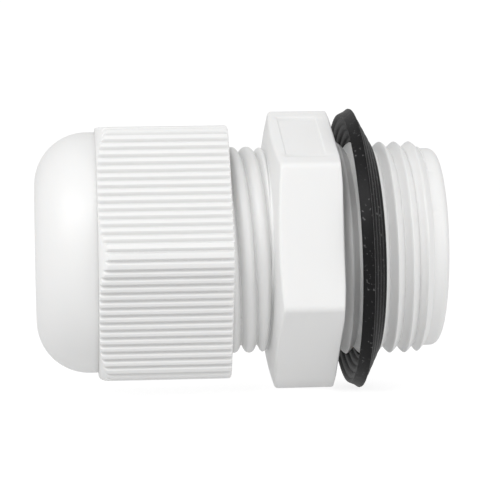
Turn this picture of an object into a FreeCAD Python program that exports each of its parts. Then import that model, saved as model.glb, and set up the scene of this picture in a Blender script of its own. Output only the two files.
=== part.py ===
import FreeCAD, Part
import math
import os
import re
import Sketcher

# Cable gland for a 20.4 mm entry thread with 18 turns to the inch, cable 6 to 12 mm.
#
# The frame: origin on the gland's axis in the plane of the hexagon's sealing face, +X along
# the axis towards the end of the entry thread, +Z up. The dome nut is on the -X side, and it
# stands partly unscrewed. Lengths are in millimetres and angles in degrees; a name that ends
# in _at is a place along X. An angle about the axis is counted from +Z towards -Y.

FINGER_COUNT = 10
GROOVES_ON_A_FLAT = 14

SIZES = [
    # The body: hexagon, neck thread, entry thread.
    ("hex_circumradius", 13.5, "axis to a corner of the hexagon"),
    ("hex_edge_round", 0.6, "rounding of the hexagon's six edges"),
    ("hex_left_at", -6.28, "hexagon's face on the nut's side"),
    ("hex_turn", -7.2, "angle of the topmost corner about the axis"),
    ("hex_left_flat", 10.0, "radius where the left face starts to slope"),
    ("hex_left_slope", 0.57, "how far the left face falls back at a corner"),
    ("hex_right_flat", 12.4, "radius of the flat sealing face"),
    ("hex_right_slope", 0.14, "how far the right face falls back at a corner"),
    ("neck_end_at", -16.25, "open end of the neck"),
    ("neck_crest", 9.9, "neck thread, crest radius"),
    ("neck_root", 9.15, "neck thread, root radius"),
    ("neck_pitch", 1.5, "neck thread, from one ridge to the next"),
    ("neck_starts", 2, "neck thread, ridges side by side"),
    ("neck_ridge_at", -20.05, "middle of the neck thread's first ridge where it starts"),
    ("neck_thread_at", -6.85, "where the neck's ridges run out"),
    ("neck_crest_width", 0.56, "width of the ridge at its crest"),
    ("neck_base_width", 1.1, "width of the ridge at its base"),
    ("neck_lead_in", 1.2, "length of the slope at the neck's open end"),
    ("entry_crest", 10.2, "entry thread, crest radius"),
    ("entry_root", 9.3, "entry thread, root radius"),
    ("entry_pitch", 1.411, "entry thread, one turn"),
    ("entry_ridge_at", -0.805, "middle of the entry thread's ridge at its first turn"),
    ("entry_crest_width", 0.14, "width of the ridge at its crest"),
    ("entry_base_width", 1.3, "width of the ridge at its base"),
    ("pilot_radius", 9.53, "plain end of the entry thread"),
    ("pilot_at", 8.65, "where the plain end starts"),
    ("entry_run_out", 0.6, "length of the slope where the thread ends"),
    ("entry_end_at", 10.15, "end of the entry thread's side"),
    ("entry_end_round", 0.8, "rounding of that end"),
    ("bore_radius", 7.0, "way through the body for the cable"),
    ("socket_radius", 8.3, "seat of the claw inside the neck"),
    ("socket_floor_at", -11.85, "floor of that seat"),
    ("lug_height", 0.7, "lugs on the seat's floor that stop the claw from turning"),
    ("lug_width", 1.2, "width of a lug"),
    # The dome nut.
    ("nut_end_at", -28.35, "outermost point of the dome"),
    ("nut_step_at", -22.55, "where the dome meets the ribbed grip"),
    ("nut_rim_at", -10.2, "rim that meets the hexagon when the nut is tight"),
    ("nut_flat", 11.9, "axis to a flat of the grip"),
    ("nut_corner_round", 2.74, "rounding of the grip's corners"),
    ("nut_turn", 0.0, "angle of the front corner below -Y about the axis"),
    ("nut_shoulder_round", 1.0, "rounding of the grip towards the dome"),
    ("nut_rim_chamfer", 0.25, "chamfer of the grip at the rim"),
    ("dome_base", 11.5, "radius of the dome at the step"),
    ("dome_round", 5.0, "rounding of the dome"),
    ("dome_mouth", 6.4, "opening for the cable"),
    ("dome_lip", 0.3, "rounding of the opening's edge"),
    ("dome_wall", 1.8, "thickness of the dome's end wall"),
    ("groove_width", 0.36, "width of a groove of the grip"),
    ("groove_depth", 0.26, "depth of a groove of the grip"),
    ("thread_gap", 0.15, "clearance between the nut's thread and the neck's"),
    ("nut_thread_end_at", -11.1, "where the nut's ridges end, near the rim"),
    ("nut_relief_at", -19.85, "inner end of the nut's bore"),
    ("cone_start", 9.57, "radius of the nut's cone where the bore ends"),
    ("cone_end", 8.2, "radius of the nut's cone at the dome's end wall"),
    # The claw: a ring and fingers that bend at their roots.
    ("claw_inner", 7.2, "bore of the claw's ring"),
    ("claw_outer", 8.2, "outside of the claw's ring"),
    ("claw_foot_at", -11.95, "foot of the claw"),
    ("claw_root_at", -14.2, "where the fingers leave the ring"),
    ("finger_gap", 0.15, "thin place where a finger bends"),
    ("finger_tip_at", -22.85, "tip of a finger"),
    ("finger_span", 28.0, "angle that a finger covers about the axis"),
    ("finger_root_inner", 7.15, "finger, inside at the root"),
    ("finger_root_outer", 8.0, "finger, outside at the root"),
    ("finger_knee_at", -16.55, "where a finger starts to flare"),
    ("finger_tip_inner", 7.7, "finger, inside at the tip"),
    ("finger_tip_outer", 8.83, "finger, outside at the tip"),
    ("finger_tip_nose", 0.8, "length of the tip's bevel"),
    # The rubber sleeve inside the claw.
    ("sleeve_bore", 6.0, "largest cable's radius"),
    ("sleeve_outer", 6.85, "outside of the sleeve"),
    ("sleeve_left_at", -26.45, "end towards the dome"),
    ("sleeve_right_at", -12.45, "end towards the body"),
    ("sleeve_bevel", 0.35, "bevel at both ends"),
    # The rubber gasket, dished because its hole is smaller than the thread.
    ("gasket_rim", 13.45, "largest radius of the gasket"),
    ("gasket_rim_back", 12.95, "radius of the rim's edge towards the hexagon"),
    ("gasket_rim_width", 1.05, "width of the rim along the axis"),
    ("gasket_hole", 10.4, "radius of the hole"),
    ("gasket_dish", 1.24, "how far the hole lies beyond the rim"),
    ("gasket_thickness", 1.36, "width of the hole's wall along the axis"),
    ("gasket_at", 1.2, "place of the rim's back edge"),
    ("gasket_lean", -1.3, "tilt about Y"),
    ("gasket_swing", 1.2, "tilt about Z"),
]

FUNCTIONS = ("cos", "sin", "sqrt")


def add_sizes(doc):
    """The sheet of driving dimensions: a note, and beside it the number with its alias."""
    sheet = doc.addObject("Spreadsheet::Sheet", "Sizes")
    for row, (alias, number, note) in enumerate(SIZES, start=1):
        sheet.set(f"A{row}", note)
        sheet.set(f"B{row}", str(number))
        sheet.setAlias(f"B{row}", alias)
    doc.recompute()
    return sheet


def bound(text):
    """The expression with the sheet's name before each size."""

    def full(word):
        return word[0] if word[0] in FUNCTIONS else "Sizes." + word[0]

    return re.sub(r"[a-z][a-z_]+", full, str(text))


def number(doc, text):
    """What an expression of sizes comes to now."""
    return float(doc.Sizes.evalExpression(bound(text)))


def new_body(doc, label):
    body = doc.addObject("PartDesign::Body", label)
    body.Label = label
    return body


def origin_feature(body, role):
    return next(f for f in body.Origin.OriginFeatures if f.Role == role)


def new_sketch(body, name, role):
    """A sketch on one of the body's own planes: XZ_Plane holds (X, radius), YZ_Plane (Y, Z)."""
    sketch = body.newObject("Sketcher::SketchObject", name)
    sketch.AttachmentSupport = (origin_feature(body, role), [""])
    sketch.MapMode = "FlatFace"
    return sketch


def arc_between(start, end, radius, turn):
    """The short arc from start to end: turn is 1 for counter-clockwise and -1 for clockwise."""
    chord = end - start
    left = FreeCAD.Vector(-chord.y, chord.x, 0).normalize()
    rise = math.sqrt(max(radius**2 - (chord.Length / 2) ** 2, 0.0))
    centre = (start + end) * 0.5 + left * (turn * rise)
    first, last = (start, end) if turn > 0 else (end, start)
    angles = [math.atan2(p.y - centre.y, p.x - centre.x) for p in (first, last)]
    circle = Part.Circle(centre, FreeCAD.Vector(0, 0, 1), radius)
    return Part.ArcOfCircle(circle, angles[0], angles[1])


def add_outline(sketch, corners, arcs=None):
    """A closed outline through corners, each a pair of expressions. arcs gives, for the side
    that starts at a corner's index, its radius and turn; the other sides are straight."""
    arcs = arcs or {}
    doc = sketch.Document
    points = [FreeCAD.Vector(number(doc, x), number(doc, y), 0) for x, y in corners]
    base = sketch.GeometryCount
    count = len(points)
    ends = []
    for i, start in enumerate(points):
        end = points[(i + 1) % count]
        if i in arcs:
            radius, turn = arcs[i]
            sketch.addGeometry(arc_between(start, end, number(doc, radius), turn), False)
            ends.append((1, 2) if turn > 0 else (2, 1))
        else:
            sketch.addGeometry(Part.LineSegment(start, end), False)
            ends.append((1, 2))
    for i in range(count):
        after = (i + 1) % count
        join = (base + i, ends[i][1], base + after, ends[after][0])
        sketch.addConstraint(Sketcher.Constraint("Coincident", *join))
    for i, (x, y) in enumerate(corners):
        for kind, text in (("DistanceX", x), ("DistanceY", y)):
            here = Sketcher.Constraint(kind, base + i, ends[i][0], number(doc, text))
            index = sketch.addConstraint(here)
            sketch.setExpression(f"Constraints[{index}]", bound(text))
    for i, (radius, _) in arcs.items():
        index = sketch.addConstraint(Sketcher.Constraint("Radius", base + i, number(doc, radius)))
        sketch.setExpression(f"Constraints[{index}]", bound(radius))


def place_section(sketch, at, turn=None):
    """Move a sketch on YZ_Plane to its place along X, and turn it about the axis."""
    doc = sketch.Document
    spin = FreeCAD.Rotation(FreeCAD.Vector(0, 0, 1), number(doc, turn) if turn else 0.0)
    sketch.AttachmentOffset = FreeCAD.Placement(FreeCAD.Vector(0, 0, number(doc, at)), spin)
    sketch.setExpression("AttachmentOffset.Base.z", bound(at))


def revolved(body, name, corners, arcs=None, cut=False, span=None):
    """Turn an outline of (X, radius) about the gland's axis, adding to the body or cutting it.
    With a span, only that angle is turned, half to each side of +Z."""
    sketch = new_sketch(body, name + "_outline", "XZ_Plane")
    add_outline(sketch, corners, arcs)
    feature = body.newObject("PartDesign::Groove" if cut else "PartDesign::Revolution", name)
    feature.Profile = sketch
    feature.ReferenceAxis = (sketch, ["H_Axis"])
    feature.Angle = 360
    if span:
        feature.Midplane = True
        feature.setExpression("Angle", bound(span))
    return feature


def pushed(body, name, sketch, length, cut=False):
    """Pad or pocket a section along +X by length."""
    feature = body.newObject("PartDesign::Pocket" if cut else "PartDesign::Pad", name)
    feature.Profile = sketch
    feature.setExpression("Length", bound(length))
    feature.Reversed = cut
    return feature


def threaded(body, name, ridge, lead, height):
    """A right-handed thread: the ridge's outline of (X, radius) swept along a helix."""
    sketch = new_sketch(body, name + "_ridge", "XZ_Plane")
    add_outline(sketch, ridge)
    body.Document.recompute()
    feature = body.newObject("PartDesign::AdditiveHelix", name)
    feature.Profile = sketch
    feature.ReferenceAxis = (sketch, ["H_Axis"])
    feature.Mode = 0  # pitch and height
    feature.Angle = 0
    feature.LeftHanded = False
    feature.setExpression("Pitch", bound(lead))
    feature.setExpression("Height", bound(height))
    return feature


def around(body, name, feature, count):
    """Repeat a feature evenly about the gland's axis."""
    pattern = body.newObject("PartDesign::PolarPattern", name)
    pattern.Originals = [feature]
    pattern.Axis = (origin_feature(body, "X_Axis"), [""])
    pattern.Angle = 360
    pattern.Occurrences = count
    body.Tip = pattern
    return pattern


def trapezium(middle, base_width, crest_width, base, crest):
    """A thread ridge's outline: wide at the base radius and narrow at the crest radius."""
    return [
        (f"{middle} - ({base_width})/2", base),
        (f"{middle} + ({base_width})/2", base),
        (f"{middle} + ({crest_width})/2", crest),
        (f"{middle} - ({crest_width})/2", crest),
    ]


def add_hexagon(body):
    """The spanner hexagon, with rounded edges and both faces sloping away at its corners."""
    doc = body.Document
    sketch = new_sketch(body, "hexagon_outline", "YZ_Plane")
    angles = [90 + 60 * i for i in range(6)]
    corners = [(f"hex_circumradius*cos({a})", f"hex_circumradius*sin({a})") for a in angles]
    add_outline(sketch, corners)
    place_section(sketch, "hex_left_at", "hex_turn")
    pad = pushed(body, "hexagon", sketch, "-hex_left_at")
    doc.recompute()
    rounds = body.newObject("PartDesign::Fillet", "hexagon_edges")
    edges = enumerate(pad.Shape.Edges, start=1)
    along_x = [f"Edge{i}" for i, e in edges if abs(e.tangentAt(0).x) > 0.99]
    rounds.Base = (pad, along_x)
    rounds.setExpression("Radius", bound("hex_edge_round"))
    beyond = "hex_circumradius + 1"
    left = [
        ("hex_left_at - 1", "hex_left_flat"),
        ("hex_left_at", "hex_left_flat"),
        ("hex_left_at + hex_left_slope", "hex_circumradius"),
        ("hex_left_at + hex_left_slope", beyond),
        ("hex_left_at - 1", beyond),
    ]
    right = [
        ("1", "hex_right_flat"),
        ("1", beyond),
        ("-hex_right_slope", beyond),
        ("-hex_right_slope", "hex_circumradius"),
        ("0", "hex_right_flat"),
    ]
    revolved(body, "hexagon_left_face", left, cut=True)
    revolved(body, "hexagon_right_face", right, cut=True)


def add_barrels(body):
    """The plain cores of both threads, one tube through the hexagon."""
    corners = [
        ("neck_end_at", "bore_radius"),
        ("entry_end_at", "bore_radius"),
        ("entry_end_at", "pilot_radius - entry_end_round"),
        ("entry_end_at - entry_end_round", "pilot_radius"),
        ("pilot_at", "pilot_radius"),
        ("pilot_at", "entry_root"),
        ("-1", "entry_root"),
        ("-1", "neck_root"),
        ("neck_end_at", "neck_root"),
    ]
    revolved(body, "barrels", corners, arcs={2: ("entry_end_round", 1)})


def add_body_threads(body):
    """The neck's two ridges side by side, and the entry thread, both trimmed to a slope at
    their open ends."""
    ridge = trapezium(
        "neck_ridge_at", "neck_base_width", "neck_crest_width", "neck_root - 0.1", "neck_crest"
    )
    height = "neck_thread_at - neck_ridge_at"
    first = threaded(body, "neck_thread", ridge, "neck_starts*neck_pitch", height)
    around(body, "neck_threads", first, int(number(body.Document, "neck_starts")))
    ridge = trapezium(
        "entry_ridge_at", "entry_base_width", "entry_crest_width", "entry_root - 0.1", "entry_crest"
    )
    threaded(body, "entry_thread", ridge, "entry_pitch", "pilot_at - entry_ridge_at + entry_run_out")
    beyond = "entry_crest + 1"
    neck_start = [
        ("neck_ridge_at - neck_pitch", "neck_root - 0.4"),
        ("neck_end_at", "neck_root - 0.4"),
        ("neck_end_at + neck_lead_in", "neck_crest"),
        ("neck_end_at + neck_lead_in", beyond),
        ("neck_ridge_at - neck_pitch", beyond),
    ]
    entry_stop = [
        ("pilot_at - entry_run_out", beyond),
        ("pilot_at - entry_run_out", "entry_crest"),
        ("pilot_at", "pilot_radius"),
        ("entry_end_at + 2", "pilot_radius"),
        ("entry_end_at + 2", beyond),
    ]
    revolved(body, "neck_thread_start", neck_start, cut=True)
    revolved(body, "entry_thread_stop", entry_stop, cut=True)


def add_claw_seat(body):
    """The way through the body, the claw's seat inside the neck, and the lugs on its floor."""
    hollow = [
        ("neck_end_at - 1", "0"),
        ("entry_end_at + 1", "0"),
        ("entry_end_at + 1", "bore_radius"),
        ("socket_floor_at", "bore_radius"),
        ("socket_floor_at", "socket_radius"),
        ("neck_end_at - 1", "socket_radius"),
    ]
    revolved(body, "bore", hollow, cut=True)
    lug = new_sketch(body, "lug_outline", "YZ_Plane")
    section = [
        ("-lug_width/2", "bore_radius + 0.1"),
        ("lug_width/2", "bore_radius + 0.1"),
        ("lug_width/2", "socket_radius + 0.2"),
        ("-lug_width/2", "socket_radius + 0.2"),
    ]
    add_outline(lug, section)
    place_section(lug, "socket_floor_at - lug_height")
    pad = pushed(body, "lug", lug, "lug_height + 0.2")
    around(body, "lugs", pad, 6)


def make_gland_body(doc):
    body = new_body(doc, "gland_body")
    add_hexagon(body)
    add_barrels(body)
    add_body_threads(body)
    add_claw_seat(body)


def add_grip(body):
    """The nut's rounded hexagon, rounded towards the dome and chamfered at the rim."""
    sketch = new_sketch(body, "grip_outline", "YZ_Plane")
    half_side = "(nut_flat - nut_corner_round)/sqrt(3)"
    corners = []
    for a in range(90, 450, 60):
        for side in (-1, 1):
            y = f"nut_flat*cos({a}) - ({side})*{half_side}*sin({a})"
            z = f"nut_flat*sin({a}) + ({side})*{half_side}*cos({a})"
            corners.append((y, z))
    arcs = {i: ("nut_corner_round", 1) for i in range(1, len(corners), 2)}
    add_outline(sketch, corners, arcs)
    place_section(sketch, "nut_step_at", "nut_turn")
    pushed(body, "grip", sketch, "nut_rim_at - nut_step_at")
    widest = "(nut_flat - nut_corner_round)*2/sqrt(3) + nut_corner_round"
    beyond = widest + " + 1"
    shoulder = [
        ("nut_step_at - 1", "dome_base"),
        ("nut_step_at", "dome_base"),
        ("nut_step_at + nut_shoulder_round", widest),
        ("nut_step_at + nut_shoulder_round", beyond),
        ("nut_step_at - 1", beyond),
    ]
    rim = [
        ("nut_rim_at + 1", "nut_flat - 3*nut_rim_chamfer"),
        ("nut_rim_at + 1", beyond),
        ("nut_rim_at - nut_rim_chamfer", beyond),
        ("nut_rim_at - nut_rim_chamfer", widest),
        ("nut_rim_at", "nut_flat - 3*nut_rim_chamfer"),
    ]
    revolved(body, "grip_shoulder", shoulder, arcs={1: ("2*nut_shoulder_round", -1)}, cut=True)
    revolved(body, "grip_rim", rim, cut=True)


def groove_outline(along, across, depth):
    """A notch's corners: along is the outward direction in degrees, across the offset of its
    middle from the corner rounding's centre, and depth the distance of its floor from there."""
    corners = []
    for side, reach in ((-1, "nut_corner_round + 0.1"), (0, depth), (1, "nut_corner_round + 0.1")):
        offset = f"({across} + ({side})*groove_width*0.6)"
        y = f"-({reach})*sin({along}) - {offset}*cos({along})"
        z = f"({reach})*cos({along}) - {offset}*sin({along})"
        corners.append((y, z))
    return corners


def add_grooves(body):
    """The grooves of the grip: a row on each flat, and two more on each rounded corner."""
    length = "nut_rim_at - nut_step_at + 1"
    floor = "nut_corner_round - groove_depth"
    centre = "(nut_flat - nut_corner_round)"
    half_row = "(nut_flat - nut_corner_round)/sqrt(3)"
    flat = new_sketch(body, "flat_groove_outline", "YZ_Plane")
    row_start = [(y + f" - {half_row}", z + f" + {centre}") for y, z in groove_outline(0, "0", floor)]
    add_outline(flat, row_start)
    place_section(flat, "nut_rim_at + 0.5", "nut_turn")
    one = pushed(body, "flat_groove", flat, length, cut=True)
    one.Reversed = False
    row = body.newObject("PartDesign::LinearPattern", "row")
    row.Direction = (flat, ["H_Axis"])
    row.Length = number(body.Document, "2*" + half_row)
    row.Occurrences = GROOVES_ON_A_FLAT
    turn = body.newObject("PartDesign::PolarPattern", "six_flats")
    turn.Axis = (origin_feature(body, "X_Axis"), [""])
    turn.Angle = 360
    turn.Occurrences = 6
    rows = body.newObject("PartDesign::MultiTransform", "flat_grooves")
    rows.Originals = [one]
    rows.Transformations = [row, turn]
    body.Tip = rows
    corner = new_sketch(body, "corner_groove_outline", "YZ_Plane")
    for angle in (20, 40):
        notch = groove_outline(angle, "0", floor)
        add_outline(corner, [(y + f" - {half_row}", z + f" + {centre}") for y, z in notch])
    place_section(corner, "nut_rim_at + 0.5", "nut_turn")
    two = pushed(body, "corner_groove", corner, length, cut=True)
    two.Reversed = False
    around(body, "corner_grooves", two, 6)


def add_dome(body):
    """The smooth dome, outside only; the hollow is cut afterwards."""
    corners = [
        ("nut_end_at", "1"),
        ("nut_rim_at - 1", "1"),
        ("nut_rim_at - 1", "dome_base - 0.5"),
        ("nut_step_at", "dome_base"),
        ("nut_end_at + dome_round", "dome_base"),
        ("nut_end_at", "dome_base - dome_round"),
    ]
    revolved(body, "dome", corners, arcs={4: ("dome_round", 1)})


def add_nut_hollow(body):
    """The opening, the cone that closes the claw, and the bore with its two ridges, which run
    in the hollows between the neck's."""
    corners = [
        ("nut_end_at - 1", "0"),
        ("nut_rim_at + 1", "0"),
        ("nut_rim_at + 1", "neck_crest + thread_gap"),
        ("nut_relief_at", "neck_crest + thread_gap"),
        ("nut_relief_at", "cone_start"),
        ("nut_end_at + dome_wall", "cone_end"),
        ("nut_end_at + dome_wall", "dome_mouth"),
        ("nut_end_at + dome_lip", "dome_mouth"),
        ("nut_end_at", "dome_mouth + dome_lip"),
        ("nut_end_at - 1", "dome_mouth + dome_lip"),
    ]
    revolved(body, "hollow", corners, arcs={7: ("dome_lip", -1)}, cut=True)
    middle = "neck_ridge_at + 2.5*neck_pitch"
    ridge = trapezium(
        middle,
        "neck_pitch - neck_crest_width - 2*thread_gap",
        "neck_pitch - neck_base_width - 2*thread_gap",
        "neck_crest + thread_gap + 0.1",
        "neck_root + thread_gap",
    )
    height = f"nut_thread_end_at - ({middle})"
    first = threaded(body, "nut_thread", ridge, "neck_starts*neck_pitch", height)
    around(body, "nut_threads", first, int(number(body.Document, "neck_starts")))


def make_dome_nut(doc):
    body = new_body(doc, "dome_nut")
    add_grip(body)
    add_grooves(body)
    add_dome(body)
    add_nut_hollow(body)


def make_claw_ring(doc):
    """The ring that carries the fingers, notched at its foot for the body's lugs."""
    body = new_body(doc, "claw_ring")
    corners = [
        ("claw_root_at", "claw_inner"),
        ("claw_foot_at", "claw_inner"),
        ("claw_foot_at", "claw_outer"),
        ("claw_root_at", "claw_outer"),
    ]
    revolved(body, "ring", corners)
    notch = new_sketch(body, "notch_outline", "YZ_Plane")
    section = [
        ("-lug_width/2 - 0.1", "claw_inner - 0.5"),
        ("lug_width/2 + 0.1", "claw_inner - 0.5"),
        ("lug_width/2 + 0.1", "claw_outer + 0.5"),
        ("-lug_width/2 - 0.1", "claw_outer + 0.5"),
    ]
    add_outline(notch, section)
    place_section(notch, "socket_floor_at - lug_height - 0.1")
    pocket = pushed(body, "notch", notch, "lug_height + 1", cut=True)
    around(body, "notches", pocket, 6)


def make_finger(doc, index):
    """One finger of the claw, half closed, as it is with the nut partly unscrewed."""
    body = new_body(doc, f"claw_finger_{index + 1:02d}")
    root = "claw_root_at - finger_gap"
    corners = [
        ("finger_tip_at", "finger_tip_inner"),
        (root, "finger_root_inner"),
        (root, "finger_root_outer"),
        ("finger_knee_at", "finger_root_outer"),
        ("finger_tip_at + finger_tip_nose", "finger_tip_outer - 0.05"),
        ("finger_tip_at + 0.25", "finger_tip_outer"),
        ("finger_tip_at", "finger_tip_outer - 0.3"),
    ]
    revolved(body, "finger", corners, span="finger_span")
    turn = FreeCAD.Rotation(FreeCAD.Vector(1, 0, 0), 360.0 / FINGER_COUNT * index)
    body.Placement = FreeCAD.Placement(FreeCAD.Vector(), turn)


def make_sealing_sleeve(doc):
    """The rubber sleeve that the claw presses on to the cable."""
    body = new_body(doc, "sealing_sleeve")
    corners = [
        ("sleeve_left_at", "sleeve_bore + sleeve_bevel"),
        ("sleeve_left_at + sleeve_bevel", "sleeve_bore"),
        ("sleeve_right_at - sleeve_bevel", "sleeve_bore"),
        ("sleeve_right_at", "sleeve_bore + sleeve_bevel"),
        ("sleeve_right_at", "sleeve_outer"),
        ("sleeve_left_at", "sleeve_outer"),
    ]
    revolved(body, "sleeve", corners)


def make_flat_gasket(doc):
    """The rubber washer: dished, leaning on the hexagon at one side and loose on the thread."""
    body = new_body(doc, "flat_gasket")
    corners = [
        ("0", "gasket_rim_back"),
        ("gasket_dish", "gasket_hole"),
        ("gasket_dish + gasket_thickness", "gasket_hole"),
        ("gasket_rim_width", "gasket_rim"),
    ]
    revolved(body, "washer", corners)
    tilt = FreeCAD.Rotation(number(doc, "gasket_swing"), number(doc, "gasket_lean"), 0)
    hole_middle = FreeCAD.Vector(number(doc, "gasket_dish + gasket_thickness/2"), 0, 0)
    place = FreeCAD.Vector(number(doc, "gasket_at"), 0, 0)
    body.Placement = FreeCAD.Placement(place, tilt, hole_middle)


def check(doc):
    """Stop if any object of the document failed, or a body's shape isn't one sound solid."""
    for item in doc.Objects:
        if {"Invalid", "Error"} & set(item.State):
            raise RuntimeError(f"{item.Label} failed: {item.State}")
    for body in doc.findObjects("PartDesign::Body"):
        shape = body.Shape
        if shape.isNull() or not shape.isValid() or len(shape.Solids) != 1:
            raise RuntimeError(f"{body.Label} is not one valid solid")
        print(body.Label, round(shape.Volume, 2))


def main():
    doc = FreeCAD.newDocument("cable_gland")
    add_sizes(doc)
    make_gland_body(doc)
    make_dome_nut(doc)
    make_claw_ring(doc)
    for index in range(FINGER_COUNT):
        make_finger(doc, index)
    make_sealing_sleeve(doc)
    make_flat_gasket(doc)
    doc.recompute()
    check(doc)
    os.makedirs("parts", exist_ok=True)
    for body in doc.findObjects("PartDesign::Body"):
        body.Shape.exportStep(f"parts/{body.Label}.step")


main()
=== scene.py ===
import math

import bpy
import numpy as np
from mathutils import Matrix, Vector


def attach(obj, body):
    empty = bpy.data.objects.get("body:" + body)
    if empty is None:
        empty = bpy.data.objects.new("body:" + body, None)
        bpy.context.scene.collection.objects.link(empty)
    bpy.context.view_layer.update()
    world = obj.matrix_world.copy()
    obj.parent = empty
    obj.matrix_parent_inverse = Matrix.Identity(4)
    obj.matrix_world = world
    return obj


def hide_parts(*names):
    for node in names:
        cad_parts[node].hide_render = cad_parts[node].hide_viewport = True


# Looks of the cable gland. Shapes are worked out in millimetres in the frame of the CAD part
# and scaled to metres when a mesh is made. An angle about the axis is counted from +Z
# towards -Y, as in the CAD part.

MM = 0.001
TURN = 2 * math.pi

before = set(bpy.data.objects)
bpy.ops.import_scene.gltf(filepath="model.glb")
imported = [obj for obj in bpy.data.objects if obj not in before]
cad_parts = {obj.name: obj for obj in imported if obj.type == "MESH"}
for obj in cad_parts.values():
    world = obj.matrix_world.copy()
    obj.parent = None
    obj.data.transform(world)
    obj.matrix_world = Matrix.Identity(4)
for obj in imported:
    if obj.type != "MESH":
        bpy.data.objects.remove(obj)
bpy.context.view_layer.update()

# The body's hexagon: its corners' radius, the rounding of its edges and faces, its turn about
# the axis, and how far each face falls away from its flat middle to the corners.
HEX_RADIUS, HEX_EDGE = 13.5, 0.8
HEX_FLAT = HEX_RADIUS * math.cos(math.pi / 6)
HEX_TURN = math.radians(-7.2)
HEX_LEFT_SOFT, HEX_RIGHT_SOFT = 0.35, 0.2
HEX_LEFT, HEX_LEFT_FLAT, HEX_LEFT_FALL = -6.28, 10.0, 0.57
HEX_RIGHT_FLAT, HEX_RIGHT_FALL = 12.4, 0.14

# The shallow panel in one of its flats: ends along X, half of its height, depth, soft edge.
PANEL_START, PANEL_END, PANEL_HALF, PANEL_DEPTH, PANEL_SOFT = -5.0, -1.3, 5.0, 0.12, 0.08

# The threads. PHASE is the place of a crest at +Z, POWER shapes a ridge (1 gives it straight
# flanks, and more makes it rounder), BEVEL is the length of the bevel at a thread's end, and
# STEP is the distance between rings of the mesh.
NECK_END, NECK_CREST, NECK_ROOT, NECK_STOP = -16.25, 9.9, 9.15, -6.85
NECK_PITCH, NECK_STARTS, NECK_PHASE = 1.5, 2, -20.05
NECK_HALF_RIDGE, NECK_POWER, NECK_STEP = 0.7, 2.6, 0.06
NECK_BEVEL, NECK_BEVEL_DROP = 1.2, 0.4
ENTRY_CREST, ENTRY_ROOT, ENTRY_PITCH, ENTRY_PHASE = 10.2, 9.45, 1.411, -0.805
ENTRY_HALF_RIDGE, ENTRY_POWER, ENTRY_STEP, ENTRY_BEVEL = 0.69, 1.4, 0.07, 0.6
PILOT_AT, PILOT, ENTRY_END, ENTRY_ROUND = 8.65, 9.53, 10.15, 0.8

# The socket for the claw, with six lugs on its floor.
BORE, SOCKET, SOCKET_FLOOR = 7.0, 8.3, -11.85
LUG_HEIGHT, LUG_HALF, LUG_AT = 0.7, 0.6, 7.6

# The dome nut.
NUT_END, NUT_STEP, NUT_RIM = -28.35, -22.55, -10.2
NUT_FLAT, NUT_CORNER = 11.9, 2.74
SHOULDER = 1.0
DOME_BASE, DOME_ROUND, DOME_MOUTH, DOME_LIP, DOME_WALL = 11.5, 5.0, 6.4, 0.3, 1.8
GROOVE_DEPTH, GROOVE_HALF = 0.32, 0.3
FLAT_STEPS, CORNER_STEPS = 13, 3
NUT_THREAD, NUT_THREAD_END, NUT_RELIEF, CONE_START, CONE_END = -16.3, -11.1, -19.85, 9.57, 8.2
THREAD_GAP = 0.15

# The sealing sleeve inside the claw.
SLEEVE_BORE, SLEEVE_OUTER, SLEEVE_LEFT, SLEEVE_RIGHT = 6.0, 6.85, -26.45, -12.45
SLEEVE_ROUND, SLEEVE_RIBS, SLEEVE_RIB_DEPTH = 0.3, 7, 0.22

# The gasket.
RIM, RIM_BACK, RIM_WIDTH, HOLE = 13.45, 12.95, 1.05, 10.4
DISH, THICK = 1.24, 1.36
RIBS, RIB_DEPTH = 4, 0.14
GASKET_AT, GASKET_LEAN, GASKET_SWING = 1.2, math.radians(-1.3), math.radians(1.2)


def smooth(low, high, value):
    """0 below low, 1 above high, and a soft step between."""
    t = np.clip((value - low) / (high - low), 0.0, 1.0)
    return t * t * (3 - 2 * t)


def softer_min(a, b, width):
    """The smaller of a and b, rounded where they cross."""
    h = np.clip(0.5 + 0.5 * (b - a) / width, 0.0, 1.0)
    return b + (a - b) * h - width * h * (1 - h)


def ring(x, r, angles):
    """A closed ring of points about the axis; x and r are numbers or one per angle."""
    x = np.broadcast_to(x, angles.shape)
    r = np.broadcast_to(r, angles.shape)
    return np.stack([x, -r * np.sin(angles), r * np.cos(angles)], axis=1)


def skin(name, rings, sharp=35.0):
    """A closed mesh through rings of equally many points, the last joined to the first."""
    points = np.array(rings)
    count, around = points.shape[:2]
    i, j = np.meshgrid(np.arange(count), np.arange(around), indexing="ij")
    after, beside = (i + 1) % count, (j + 1) % around
    quads = np.stack(
        [i * around + j, i * around + beside, after * around + beside, after * around + j], axis=-1
    ).reshape(-1, 4)
    flat = points.reshape(-1, 3) * MM
    a, b, c, d = (flat[quads[:, k]] for k in range(4))
    volume = np.sum(np.cross(b - a, c - a) * a) + np.sum(np.cross(c - a, d - a) * a)
    if volume < 0:
        quads = quads[:, ::-1]
    return as_object(name, flat, quads, sharp)


def as_object(name, points, faces, sharp=35.0):
    """A smooth-shaded mesh object in metres, sharp only at bends of more than sharp degrees."""
    mesh = bpy.data.meshes.new(name)
    mesh.from_pydata(points.tolist(), [], faces.tolist())
    mesh.validate()
    for polygon in mesh.polygons:
        polygon.use_smooth = True
    mesh.set_sharp_from_angle(angle=math.radians(sharp))
    obj = bpy.data.objects.new(name, mesh)
    bpy.context.scene.collection.objects.link(obj)
    return obj


def arc(centre, radius, start, end, steps):
    """Points (x, r) on an arc; angles in degrees from +X towards larger r."""
    return [
        (centre[0] + radius * math.cos(math.radians(t)), centre[1] + radius * math.sin(math.radians(t)))
        for t in np.linspace(start, end, steps)
    ]


# ---- body ------------------------------------------------------------------------------


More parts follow.
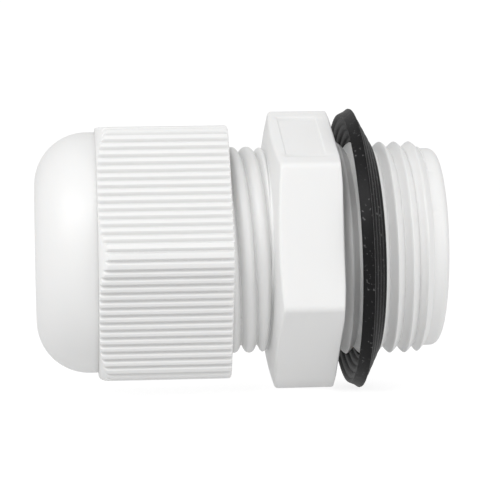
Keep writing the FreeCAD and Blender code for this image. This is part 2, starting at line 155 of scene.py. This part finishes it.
def body_angles():
    """Angles about the axis, close together at the hexagon's corners, the panel's edges and the
    lugs' sides."""
    near = np.array([0.0, 0.2, 0.4, 0.6, 0.8, 1.0, 1.3, 1.7, 2.3])
    corner = math.degrees(HEX_TURN)
    lug = math.degrees(math.asin(LUG_HALF / LUG_AT))
    panel = 30 - math.degrees(math.atan(PANEL_HALF / HEX_FLAT)) + np.array([-0.4, 0.0, 0.4])
    marks = [corner + near, corner - near, np.array([lug, lug + 0.3, -lug, -lug - 0.3])]
    marks += [corner + panel, corner - panel]
    degrees = np.concatenate([np.arange(0, 60, 1.2)] + marks) % 60
    degrees = np.sort(degrees)
    keep = np.concatenate([[True], np.diff(degrees) > 0.12])
    sector = np.radians(degrees[keep])
    return np.concatenate([sector + k * TURN / 6 for k in range(6)])


def hexagon_radius(angles):
    """The rounded hexagon's radius at each angle."""
    off = np.abs((angles - HEX_TURN + math.pi / 6) % (TURN / 6) - math.pi / 6)
    side = HEX_FLAT / np.cos(math.pi / 6 - off)
    centre = (HEX_FLAT - HEX_EDGE) / math.cos(math.pi / 6)
    beyond = np.sqrt(np.maximum(HEX_EDGE**2 - (centre * np.sin(off)) ** 2, 0.0))
    rounded = centre * np.cos(off) + beyond
    within = off < math.atan2(HEX_EDGE * 0.5, centre + HEX_EDGE * math.cos(math.pi / 6))
    return np.where(within, rounded, side)


def panel_rings():
    """Places along X that draw the panel's two ends."""
    steps = np.array([-PANEL_SOFT, 0.0, PANEL_SOFT])
    return np.concatenate([PANEL_START + steps, [(PANEL_START + PANEL_END) / 2], PANEL_END + steps])


def panel_depth(x, angles):
    """How deep the panel lies below the hexagon's upper front flat at each angle."""
    turned = (angles - HEX_TURN - math.pi / 6 + math.pi) % TURN - math.pi
    aside = np.abs(HEX_FLAT * np.tan(np.clip(turned, -math.pi / 5, math.pi / 5)))
    inside = 1 - smooth(PANEL_HALF - 0.1, PANEL_HALF + 0.1, aside)
    begun = smooth(PANEL_START - PANEL_SOFT, PANEL_START + PANEL_SOFT, x)
    ended = smooth(PANEL_END - PANEL_SOFT, PANEL_END + PANEL_SOFT, x)
    return PANEL_DEPTH * inside * begun * (1 - ended)


def off_ridge(x, angles, phase, pitch, starts=1):
    """Distance along X from the middle of the nearest thread ridge."""
    along = (x - phase - starts * pitch * angles / TURN) % pitch
    return np.minimum(along, pitch - along)


def neck_radius(x, angles):
    """The neck thread: it starts on a bevel and runs out before the hexagon."""
    w = off_ridge(x, angles, NECK_PHASE, NECK_PITCH, NECK_STARTS)
    ridge = 1 - np.clip(w / NECK_HALF_RIDGE, 0.0, 1.0) ** NECK_POWER
    r = NECK_ROOT + (NECK_CREST - NECK_ROOT) * ridge
    rise = NECK_CREST - NECK_ROOT + NECK_BEVEL_DROP
    slope = NECK_ROOT - NECK_BEVEL_DROP + rise * (x - NECK_END) / NECK_BEVEL
    run_out = 1 - smooth(NECK_STOP - 0.1, NECK_STOP + 1.0, x)
    r = NECK_ROOT + (r - NECK_ROOT) * run_out
    return softer_min(r, slope, 0.06)


def entry_radius(x, angles):
    """The entry thread: its root rises to the plain end, and its last ridge is cut off by a
    bevel there."""
    w = off_ridge(x, angles, ENTRY_PHASE, ENTRY_PITCH)
    ridge = 1 - np.clip(w / ENTRY_HALF_RIDGE, 0.0, 1.0) ** ENTRY_POWER
    root = ENTRY_ROOT + (PILOT - ENTRY_ROOT) * smooth(PILOT_AT - 1.3, PILOT_AT - 0.3, x)
    r = root + (ENTRY_CREST - root) * ridge
    stop = PILOT + (ENTRY_CREST - PILOT) * (PILOT_AT - x) / ENTRY_BEVEL
    return np.minimum(r, np.maximum(stop, PILOT))


def make_body():
    """The body, ring by ring: the socket, the neck, the hexagon, the entry thread, the bore."""
    angles = body_angles()
    hexagon = hexagon_radius(angles)
    lug_angle = np.abs((angles + math.pi / 6) % (TURN / 6) - math.pi / 6)
    lug = 1 - smooth(LUG_HALF / LUG_AT, LUG_HALF / LUG_AT + 0.006, lug_angle)
    floor = SOCKET_FLOOR - LUG_HEIGHT * lug

    def left_face(r):
        past = np.maximum(r - HEX_LEFT_FLAT, 0)
        return HEX_LEFT + HEX_LEFT_FALL * past / (HEX_RADIUS - HEX_LEFT_FLAT)

    def right_face(r):
        past = np.maximum(r - HEX_RIGHT_FLAT, 0)
        return -HEX_RIGHT_FALL * past / (HEX_RADIUS - HEX_RIGHT_FLAT)

    rings = [ring(floor, BORE, angles), ring(floor, SOCKET, angles)]
    rings += [ring(x, SOCKET, angles) for x in (-13.5, NECK_END + 0.1)]
    rings += [ring(NECK_END, SOCKET + 0.08, angles), ring(NECK_END, NECK_ROOT - 0.45, angles)]
    for x in np.arange(NECK_END + 0.05, HEX_LEFT - 0.2, NECK_STEP):
        rings.append(ring(x, neck_radius(x, angles), angles))
    # A small fillet where the neck meets the hexagon.
    foot = neck_radius(HEX_LEFT, angles)
    for back, lift in ((0.2, 0.0), (0.1, 0.02), (0.04, 0.06), (0.0, 0.14)):
        rings.append(ring(HEX_LEFT - back, foot + lift, angles))
    rings.append(ring(HEX_LEFT, np.maximum(HEX_LEFT_FLAT, foot + 0.2), angles))
    for part in (0.25, 0.5, 0.75):
        r = HEX_LEFT_FLAT + (hexagon - HEX_LEFT_SOFT - HEX_LEFT_FLAT) * part
        rings.append(ring(left_face(r), np.maximum(r, foot + 0.25), angles))
    start = left_face(hexagon - HEX_LEFT_SOFT)
    end = right_face(hexagon - HEX_RIGHT_SOFT)
    bends = np.radians(np.linspace(0, 90, 7))
    for t in bends:
        x = start + HEX_LEFT_SOFT * (1 - math.cos(t))
        rings.append(ring(x, hexagon - HEX_LEFT_SOFT * (1 - math.sin(t)), angles))
    for x in panel_rings():
        rings.append(ring(x, hexagon - panel_depth(x, angles), angles))
    for t in bends[::-1]:
        x = end - HEX_RIGHT_SOFT * (1 - math.cos(t))
        rings.append(ring(x, hexagon - HEX_RIGHT_SOFT * (1 - math.sin(t)), angles))
    r = np.minimum(hexagon - HEX_RIGHT_SOFT, HEX_RIGHT_FLAT)
    rings.append(ring(right_face(r), r - 0.01, angles))
    rings.append(ring(0.0, ENTRY_CREST + 0.5, angles))
    rings.append(ring(0.0, entry_radius(0.0, angles) + 0.1, angles))
    for x in np.arange(0.04, PILOT_AT, ENTRY_STEP):
        rings.append(ring(x, entry_radius(x, angles), angles))
    for x, r in [(PILOT_AT, PILOT), (ENTRY_END - ENTRY_ROUND, PILOT)]:
        rings.append(ring(x, r, angles))
    for x, r in arc((ENTRY_END - ENTRY_ROUND, PILOT - ENTRY_ROUND), ENTRY_ROUND, 75, 0, 7):
        rings.append(ring(x, r, angles))
    for x, r in [(ENTRY_END, BORE + 0.25), (ENTRY_END - 0.07, BORE + 0.07), (ENTRY_END - 0.25, BORE)]:
        rings.append(ring(x, r, angles))
    rings += [ring(x, BORE, angles) for x in (6.0, 2.0, -2.0, -6.0, -10.0)]
    return skin("gland_body_shape", rings)


# ---- dome nut --------------------------------------------------------------------------


def grip_outline():
    """Points of the nut's rounded hexagon, their outward directions, and the distance of each
    from the middle of its nearest groove. Grooves stand where the flats begin and end,
    evenly on the flats, and twice on each rounded corner."""
    half = (NUT_FLAT - NUT_CORNER) / math.sqrt(3)
    corner = NUT_CORNER * math.pi / 3
    steps = [2 * half / FLAT_STEPS] * FLAT_STEPS + [corner / CORNER_STEPS] * CORNER_STEPS
    offsets = np.array([0.0, 0.05, 0.1, 0.15, 0.2, 0.26])
    along, off = [], []
    start = 0.0
    for step in steps:
        samples = np.concatenate([offsets, [step / 2], step - offsets[:0:-1]])
        along.append(start + samples)
        off.append(np.minimum(samples, step - samples))
        start += step
    along, off = np.concatenate(along), np.concatenate(off)
    on_flat = along <= 2 * half
    bend = np.where(on_flat, 0.0, (along - 2 * half) / NUT_CORNER)
    across = np.where(on_flat, along - half, half) + NUT_CORNER * np.sin(bend)
    out = NUT_FLAT - NUT_CORNER + NUT_CORNER * np.cos(bend)
    places, normals = [], []
    for turn in np.arange(6) * TURN / 6:
        up = out * math.cos(turn) - across * math.sin(turn)
        side = out * math.sin(turn) + across * math.cos(turn)
        places.append((up, side))
        normals.append((np.cos(bend + turn), np.sin(bend + turn)))
    place = np.concatenate(places, axis=1)
    normal = np.concatenate(normals, axis=1)
    return place, normal, np.tile(off, 6)


def shoulder_radius(x):
    """The rounded shoulder between the grip's corners and the dome."""
    widest = (NUT_FLAT - NUT_CORNER) * 2 / math.sqrt(3) + NUT_CORNER
    a, b = np.array([NUT_STEP + SHOULDER, widest]), np.array([NUT_STEP, DOME_BASE])
    radius = 2 * SHOULDER
    chord = b - a
    length = np.linalg.norm(chord)
    aside = np.array([-chord[1], chord[0]]) / length
    centre = (a + b) / 2 + aside * math.sqrt(radius**2 - (length / 2) ** 2)
    return centre[1] + math.sqrt(max(radius**2 - (x - centre[0]) ** 2, 0.0))


def make_nut():
    """The nut, ring by ring: the grip, the shoulder, the dome, its mouth, the cone, the thread."""
    place, normal, off = grip_outline()
    groove = GROOVE_DEPTH * (1 - smooth(0.02, GROOVE_HALF, off))
    angles = np.arctan2(place[1], place[0])

    def grip(x, inset):
        depth = np.maximum(groove, inset)
        up, side = place[0] - normal[0] * depth, place[1] - normal[1] * depth
        r = np.hypot(up, side)
        if x < NUT_STEP + SHOULDER + 0.2:
            r = softer_min(r, shoulder_radius(max(x, NUT_STEP)), 0.05)
        return ring(x, r, np.arctan2(side, up))

    def nut_thread(x):
        w = off_ridge(x, angles, NECK_PHASE + NECK_PITCH / 2, NECK_PITCH, NECK_STARTS)
        fade_out = 1 - smooth(NUT_THREAD_END - 0.2, NUT_THREAD_END, x)
        within = smooth(NUT_THREAD, NUT_THREAD + 0.2, x) * fade_out
        ridge = 1 - np.clip((w - 0.025) / 0.295, 0.0, 1.0)
        return NECK_CREST + THREAD_GAP - (NECK_CREST - NECK_ROOT) * ridge * within

    rings = [grip(NUT_RIM, 0.3), grip(NUT_RIM - 0.03, 0.16), grip(NUT_RIM - 0.11, 0.05)]
    rings += [grip(x, 0.0) for x in np.linspace(NUT_RIM - 0.25, NUT_STEP + SHOULDER + 0.25, 12)]
    rings += [grip(x, 0.0) for x in np.linspace(NUT_STEP + SHOULDER, NUT_STEP + 0.02, 22)]
    rings.append(ring(NUT_STEP - 0.02, DOME_BASE - 0.03, angles))
    rings.append(ring(NUT_STEP - 0.1, DOME_BASE, angles))
    rings.append(ring(NUT_STEP - 0.5, DOME_BASE, angles))
    bend = (NUT_END + DOME_ROUND, DOME_BASE - DOME_ROUND)
    last = 90 + math.degrees(math.acos((DOME_MOUTH + DOME_LIP - bend[1]) / DOME_ROUND))
    rings += [ring(x, r, angles) for x, r in arc(bend, DOME_ROUND, 90, last, 26)]
    lip = (NUT_END + DOME_LIP + 0.01, DOME_MOUTH + DOME_LIP)
    rings += [ring(x, r, angles) for x, r in arc(lip, DOME_LIP, 195, 270, 6)]
    wall = NUT_END + DOME_WALL
    bore = NECK_CREST + THREAD_GAP
    inside = [(wall - 0.1, DOME_MOUTH), (wall, DOME_MOUTH + 0.1), (wall, CONE_END - 0.1)]
    inside += [(wall + 0.1, CONE_END), (NUT_RELIEF, CONE_START)]
    inside += [(NUT_RELIEF + 0.05, bore), (NUT_THREAD - 0.1, bore)]
    rings += [ring(x, r, angles) for x, r in inside]
    for x in np.arange(NUT_THREAD, NUT_THREAD_END + 0.05, 0.08):
        rings.append(ring(x, nut_thread(x), angles))
    rings.append(ring(NUT_RIM - 0.4, bore, angles))
    rings.append(ring(NUT_RIM, bore + 0.35, angles))
    return skin("dome_nut_shape", rings)


# ---- gasket ----------------------------------------------------------------------------


def make_gasket():
    """The dished gasket, ribbed on both faces, and tilted about the middle of its hole."""
    angles = np.radians(np.arange(0, 360, 1.0))
    back = [(0.0, RIM_BACK - 0.15), (DISH, HOLE)]
    front = [(DISH + THICK, HOLE), (RIM_WIDTH, RIM - 0.1)]
    rings = []

    def between(a, b, steps, lift):
        """Rings along a straight stretch of the profile, ribbed by lift."""
        a, b = np.array(a), np.array(b)
        aside = np.array([(b - a)[1], -(b - a)[0]]) / np.linalg.norm(b - a)
        for t in np.linspace(0, 1, steps):
            p = a + (b - a) * t + aside * lift(t)
            rings.append(ring(p[0], p[1], angles))

    def ribs(t):
        return -RIB_DEPTH * (1 - abs(math.cos(t * math.pi * RIBS)) ** 0.7)

    between(back[0], back[1], 61, ribs)
    between(front[0], front[1], 71, ribs)
    rim = [(RIM_WIDTH - 0.03, RIM - 0.03), (RIM_WIDTH - 0.12, RIM - 0.01), (0.6, RIM - 0.25)]
    rim += [(0.12, RIM_BACK + 0.04), (0.02, RIM_BACK - 0.02)]
    rings += [ring(x, r, angles) for x, r in rim]
    obj = skin("flat_gasket_shape", rings, sharp=50.0)
    middle = Vector(((DISH + THICK / 2) * MM, 0, 0))
    tilt = Matrix.Rotation(GASKET_SWING, 4, "Z") @ Matrix.Rotation(GASKET_LEAN, 4, "Y")
    shift = Matrix.Translation(Vector((GASKET_AT * MM, 0, 0)) + middle)
    obj.data.transform(shift @ tilt @ Matrix.Translation(-middle))
    return obj


# ---- sealing sleeve --------------------------------------------------------------------


def make_sleeve():
    """The rubber sleeve: soft ends, and rounded sealing ribs round its bore."""
    angles = np.radians(np.arange(0, 360, 2.0))
    left, right, soft = SLEEVE_LEFT, SLEEVE_RIGHT, SLEEVE_ROUND
    profile = arc((left + soft, SLEEVE_OUTER - soft), soft, 180, 90, 5)
    profile += [(x, SLEEVE_OUTER) for x in np.linspace(left + 2, right - 2, 4)]
    profile += arc((right - soft, SLEEVE_OUTER - soft), soft, 90, 0, 5)
    profile += arc((right - soft, SLEEVE_BORE + soft), soft, 0, -90, 5)
    start, end = right - soft - 0.4, left + soft + 0.4
    for t in np.linspace(0, 1, 12 * SLEEVE_RIBS + 1):
        between_ribs = abs(math.sin(t * math.pi * SLEEVE_RIBS))
        profile.append((start + (end - start) * t, SLEEVE_BORE + SLEEVE_RIB_DEPTH * between_ribs))
    profile += arc((left + soft, SLEEVE_BORE + soft), soft, 270, 180, 5)
    return skin("sealing_sleeve_shape", [ring(x, r, angles) for x, r in profile])


# ---- materials -------------------------------------------------------------------------


def noise(tree, place, size, detail):
    """Noise with spots of about a size in millimetres."""
    node = tree.nodes.new("ShaderNodeTexNoise")
    node.inputs["Scale"].default_value = 1 / (size * MM)
    node.inputs["Detail"].default_value = detail
    tree.links.new(place, node.inputs["Vector"])
    return node.outputs["Fac"]


def map_range(tree, value, limits):
    """A value moved to another range; limits names the ends that aren't 0 or 1."""
    node = tree.nodes.new("ShaderNodeMapRange")
    for socket, number in limits.items():
        node.inputs[socket].default_value = number
    tree.links.new(value, node.inputs["Value"])
    return node.outputs["Result"]


def multiply(tree, value):
    """A node that multiplies its colour A by a value."""
    node = tree.nodes.new("ShaderNodeMix")
    node.data_type = "RGBA"
    node.blend_type = "MULTIPLY"
    node.inputs["Factor"].default_value = 1.0
    tree.links.new(value, node.inputs["B"])
    return node


def paint_cavity_shade(tree, colour, cavity_shade, shade_free_from):
    """A colour with painted shade, from ambient occlusion: it darkens by up to the given amount
    where little light gets in. The last argument is how open a place is, from 0 to 1, where it stays
    unshaded."""
    deep = tree.nodes.new("ShaderNodeAmbientOcclusion")
    deep.samples = 12
    deep.inputs["Distance"].default_value = 2 * MM
    limits = {"From Min": 0.05, "From Max": shade_free_from, "To Min": 1 - cavity_shade}
    shade_mix = multiply(tree, map_range(tree, deep.outputs["AO"], limits))
    tree.links.new(colour, shade_mix.inputs["A"])
    return shade_mix.outputs["Result"]


def add_specks(tree, place, colour, specks):
    """A colour with small grey specks of dust, each as strong as specks at its middle."""
    limits = {"From Min": 0.66, "From Max": 0.8, "To Max": specks}
    dusty = tree.nodes.new("ShaderNodeMix")
    dusty.data_type = "RGBA"
    dusty.inputs["B"].default_value = (0.4, 0.4, 0.4, 1)
    amount = map_range(tree, noise(tree, place, 0.3, 1.0), limits)
    tree.links.new(amount, dusty.inputs["Factor"])
    tree.links.new(colour, dusty.inputs["A"])
    return dusty.outputs["Result"]


def material(name, colour, roughness, grain, depth, mottle, ior=1.5):
    """A moulded finish: a fine grain of a given size and depth in millimetres, and a faint
    unevenness of the colour. Returns the material, the place on the object and the colour."""
    mat = bpy.data.materials.new(name)
    mat.use_nodes = True
    tree = mat.node_tree
    shader = tree.nodes["Principled BSDF"]
    shader.inputs["Base Color"].default_value = (*colour, 1)
    shader.inputs["Roughness"].default_value = roughness
    shader.inputs["IOR"].default_value = ior
    place = tree.nodes.new("ShaderNodeTexCoord").outputs["Object"]
    bump = tree.nodes.new("ShaderNodeBump")
    bump.inputs["Strength"].default_value = 0.5
    bump.inputs["Distance"].default_value = depth * MM
    tree.links.new(noise(tree, place, grain, 3.0), bump.inputs["Height"])
    tree.links.new(bump.outputs["Normal"], shader.inputs["Normal"])
    limits = {"To Min": 1 - mottle, "To Max": 1 + mottle}
    tint = multiply(tree, map_range(tree, noise(tree, place, 4, 4.0), limits))
    tint.inputs["A"].default_value = (*colour, 1)
    tree.links.new(tint.outputs["Result"], shader.inputs["Base Color"])
    return mat, place, tint.outputs["Result"]


def nylon_material(name, colour, roughness, subsurface, cavity_shade=0.0, shade_free_from=0.45):
    """White nylon, which lets a little light in, and may get painted shade where it is deep."""
    mat, _, tinted = material(name, colour, roughness, grain=0.12, depth=0.004, mottle=0.01)
    shader = mat.node_tree.nodes["Principled BSDF"]
    shader.inputs["Subsurface Weight"].default_value = subsurface
    shader.inputs["Subsurface Radius"].default_value = (1.0, 0.9, 0.8)
    shader.inputs["Subsurface Scale"].default_value = 0.6 * MM
    # Painted shade: occlusion darkens the base colour in grooves, gaps and under rims.
    if cavity_shade:
        shaded_colour = paint_cavity_shade(mat.node_tree, tinted, cavity_shade, shade_free_from)
        mat.node_tree.links.new(shaded_colour, shader.inputs["Base Color"])
    return mat


def gasket_material():
    """Dusty black rubber."""
    black = (0.006, 0.006, 0.0065)
    mat, place, tinted = material("gasket_rubber", black, 0.4, 0.12, 0.03, 0.5, ior=1.26)
    shader = mat.node_tree.nodes["Principled BSDF"]
    dusty = add_specks(mat.node_tree, place, tinted, 0.3)
    mat.node_tree.links.new(dusty, shader.inputs["Base Color"])
    return mat


def wear(obj, mat):
    """Gives an object one material in place of what it had."""
    obj.data.materials.clear()
    obj.data.materials.append(mat)


WHITE = (0.87, 0.87, 0.865)
# Painted shade in the hollows: faint on the body, stronger in the grooves of the nut's grip.
nylon = nylon_material("white_nylon", WHITE, 0.4, 0.12, cavity_shade=0.1)
grip_nylon = nylon_material("grip_nylon", WHITE, 0.4, 0.12, cavity_shade=0.3, shade_free_from=0.8)
claw_nylon = nylon_material("claw_nylon", (0.84, 0.84, 0.82), 0.45, 0.2)
gasket_rubber = gasket_material()
sleeve_rubber = material("sleeve_rubber", (0.03, 0.03, 0.033), 0.65, 0.1, 0.01, 0.2)[0]

# Each piece of its own, with the node it replaces, its body, its slot and its material.
for piece, node, ride, slot, mat in (
    (make_body(), "gland_body", "body", "white_nylon", nylon),
    (make_nut(), "dome_nut", "nut", "white_nylon", grip_nylon),
    (make_gasket(), "flat_gasket", "gasket", "gasket_rubber", gasket_rubber),
    (make_sleeve(), "sealing_sleeve", "sleeve", "sleeve_rubber", sleeve_rubber),
):
    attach(piece, ride)
    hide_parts(node)
    wear(piece, mat)

# The CAD's own nodes: the claw's are shown, and the others are replaced.
finishes = {"gland_body": nylon, "dome_nut": nylon}
finishes |= {"flat_gasket": gasket_rubber, "sealing_sleeve": sleeve_rubber}
for name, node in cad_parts.items():
    wear(node, finishes.get(name, claw_nylon))


# ---- stage -----------------------------------------------------------------------------

# The middle of the gland, which the lights aim at, and the floor, just under the gasket.
MIDDLE = Vector((-9, 0, 0))
FLOOR_HALF, FLOOR_AT = 4000, -13.5


def plane(name, half, z):
    """A level square of the stage."""
    points = np.array([(-half, -half, z), (half, -half, z), (half, half, z), (-half, half, z)]) * MM
    obj = as_object(name, points, np.array([[0, 1, 2, 3]]))
    return obj


def area_light(name, place, size, power):
    """A round light of a size in millimetres and a power in watts, aimed at the gland."""
    light = bpy.data.lights.new(name, "AREA")
    light.shape = "DISK"
    light.size = size * MM
    light.energy = power
    obj = bpy.data.objects.new(name, light)
    obj.location = Vector(place) * MM
    obj.rotation_euler = (MIDDLE - Vector(place)).to_track_quat("-Z", "Y").to_euler()
    bpy.context.scene.collection.objects.link(obj)


# The floor glows, more to the camera than to the gland, so that it shows white.
floor_mat = bpy.data.materials.new("floor_white")
floor_mat.use_nodes = True
ground = floor_mat.node_tree
floor_shader = ground.nodes["Principled BSDF"]
floor_shader.inputs["Base Color"].default_value = (0.25, 0.25, 0.25, 1)
floor_shader.inputs["Roughness"].default_value = 0.9
floor_shader.inputs["Emission Color"].default_value = (1, 1, 1, 1)
seen_by_camera = ground.nodes.new("ShaderNodeLightPath").outputs["Is Camera Ray"]
glow = map_range(ground, seen_by_camera, {"To Min": 0.5, "To Max": 0.85})
ground.links.new(glow, floor_shader.inputs["Emission Strength"])
wear(plane("floor", FLOOR_HALF, FLOOR_AT), floor_mat)

area_light("key", (-130, -300, 280), 160, 0.3)
area_light("left", (-220, -160, 180), 200, 0.28)
area_light("right", (230, -180, 80), 200, 0.17)

# The world lights the gland softly, and shows white to the camera.
world = bpy.data.worlds.new("studio")
world.use_nodes = True
sky = world.node_tree
sky.nodes["Background"].inputs["Color"].default_value = (1, 1, 1, 1)
sky.nodes["Background"].inputs["Strength"].default_value = 0.6
seen = sky.nodes.new("ShaderNodeBackground")
seen.inputs["Color"].default_value = (1, 1, 1, 1)
seen.inputs["Strength"].default_value = 1.05
path = sky.nodes.new("ShaderNodeLightPath")
pick = sky.nodes.new("ShaderNodeMixShader")
sky.links.new(path.outputs["Is Camera Ray"], pick.inputs[0])
sky.links.new(sky.nodes["Background"].outputs[0], pick.inputs[1])
sky.links.new(seen.outputs[0], pick.inputs[2])
sky.links.new(pick.outputs[0], sky.nodes["World Output"].inputs[0])
bpy.context.scene.world = world
bpy.context.scene.view_settings.view_transform = "Standard"

# The camera stands in front, a little to the left and above, and is rolled a little.
YAW, RISE, ROLL = math.radians(4.7), math.radians(2.0), math.radians(0.88)
DISTANCE, LENS, SENSOR = 230.0, 172.05, 36.0
target = Vector((-7.78, 0.0, -0.04))
towards = Vector((-math.sin(YAW) * math.cos(RISE), -math.cos(YAW) * math.cos(RISE), math.sin(RISE)))
lens = bpy.data.cameras.new("camera")
lens.lens = LENS
lens.sensor_width = SENSOR
lens.clip_start = 0.01
lens.clip_end = 20.0
camera = bpy.data.objects.new("camera", lens)
camera.location = (target + towards * DISTANCE) * MM
facing = (-towards).to_track_quat("-Z", "Y").to_matrix()
camera.rotation_euler = (facing @ Matrix.Rotation(-ROLL, 3, "Z")).to_euler()
bpy.context.scene.collection.objects.link(camera)
bpy.context.scene.camera = camera
